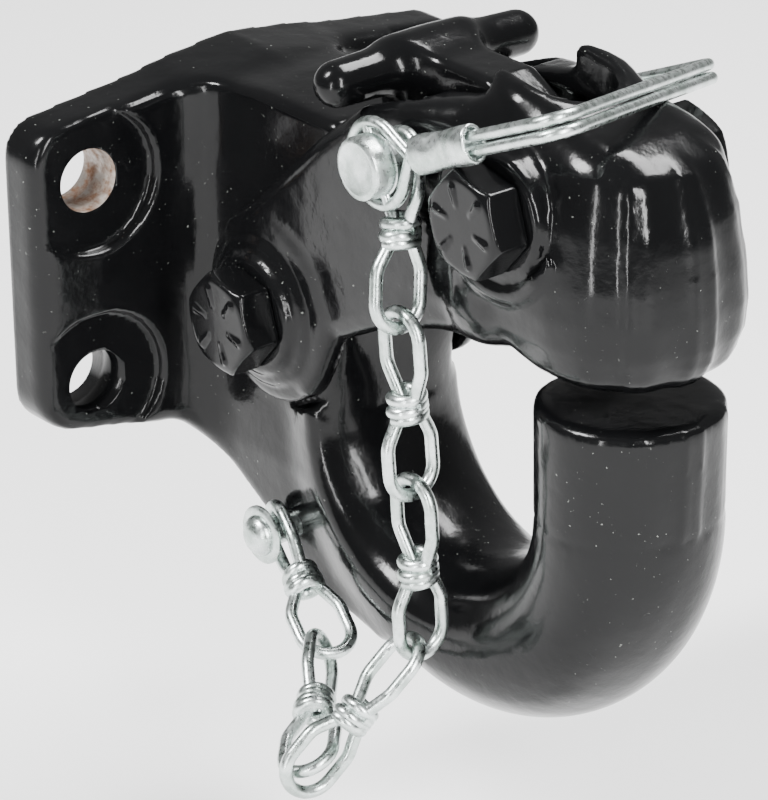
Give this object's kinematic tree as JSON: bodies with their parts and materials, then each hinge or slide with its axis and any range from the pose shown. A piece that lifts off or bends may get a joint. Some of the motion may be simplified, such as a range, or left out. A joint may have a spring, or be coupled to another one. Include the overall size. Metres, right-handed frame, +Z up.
{
  "type": "pintle hook",
  "caption": "Forged bolt-on pintle hook with a pivoting latch, T-handled lock, wire-lock safety pin and knotted retaining chain, for coupling a trailer's drawbar eye.",
  "frame": {"origin": "centre of the four-hole bolt pattern on the mounting face", "axes": "+X out of the mounting face towards the trailer, +Y left, +Z up"},
  "size_m": [0.1522, 0.1151, 0.1513],
  "materials": {
    "forging_paint": "glossy black paint over a forged surface",
    "bolt_paint": "glossy black paint",
    "zinc": "bright zinc plating",
    "spring_steel": "oiled spring steel"
  },
  "bodies": {
    "hook": {"hook_body": "forging_paint", "latch_pivot_bolt": "bolt_paint", "latch_pivot_nut": "bolt_paint", "chain_rivet": "zinc", "rivet_washer": "zinc"},
    "latch": {"latch_jaw": "forging_paint", "lock_pivot_bolt": "bolt_paint", "lock_pivot_nut": "bolt_paint", "lock_spring": "spring_steel"},
    "lock": {"lock_handle": "forging_paint"},
    "pin": {"safety_pin": "zinc"},
    "bail": {"pin_bail_wire": "zinc", "bail_ferrule": "zinc"},
    "link_1": {"chain_link_1": "zinc"},
    "link_2": {"chain_link_2": "zinc"},
    "link_3": {"chain_link_3": "zinc"},
    "link_4": {"chain_link_4": "zinc"},
    "link_5": {"chain_link_5": "zinc"},
    "link_6": {"chain_link_6": "zinc"}
  },
  "joints": [
    {"name": "latch_pivot", "type": "hinge", "parent": "hook", "child": "latch", "pos_m": [0.0413, 0, -0.0024], "axis": [0, -1, 0], "range_deg": [0, 50]},
    {"name": "lock_pivot", "type": "hinge", "parent": "latch", "child": "lock", "pos_m": [0.117, 0, 0.0419], "axis": [0, 1, 0], "range_deg": [0, 25]},
    {"name": "pin_slide", "type": "slide", "parent": "latch", "child": "pin", "axis": [0, -1, 0], "range_m": [0, 0.002]},
    {"name": "bail_swing", "type": "hinge", "parent": "pin", "child": "bail", "pos_m": [0.09, -0.0295, 0.046], "axis": [0.3987, 0, -0.9171], "range_deg": [0, 30]},
    {"name": "link_1_swing", "type": "hinge", "parent": "latch", "child": "link_1", "pos_m": [0.09, 0, 0.046], "axis": [0, 1, 0], "range_deg": [-8, 0]},
    {"name": "link_2_swing", "type": "hinge", "parent": "link_1", "child": "link_2", "pos_m": [0.09626, -0.02933, 0.01413], "axis": [-0.0025, 0.9999, 0.0141], "range_deg": [-12, 0]},
    {"name": "link_3_swing", "type": "hinge", "parent": "link_2", "child": "link_3", "pos_m": [0.0986, -0.02875, -0.0206], "axis": [-0.0035, 0.9996, 0.0285], "range_deg": [-12, 0]},
    {"name": "link_4_swing", "type": "hinge", "parent": "link_3", "child": "link_4", "pos_m": [0.0995, -0.03176, -0.05375], "axis": [0.0187, 0.6963, -0.7175], "range_deg": [-12, 1]},
    {"name": "link_6_swing", "type": "hinge", "parent": "hook", "child": "link_6", "pos_m": [0.0426, 0, -0.0515], "axis": [0, 1, 0], "range_deg": [0, 1]},
    {"name": "link_5_swing", "type": "hinge", "parent": "link_6", "child": "link_5", "pos_m": [0.06993, -0.03027, -0.06622], "axis": [0.6346, 0.7474, -0.1968], "range_deg": [-1, 2]}
  ],
  "couplings": [
    {"joint": "lock_pivot", "follows": "latch_pivot", "ratio": 0.5}
  ]
}
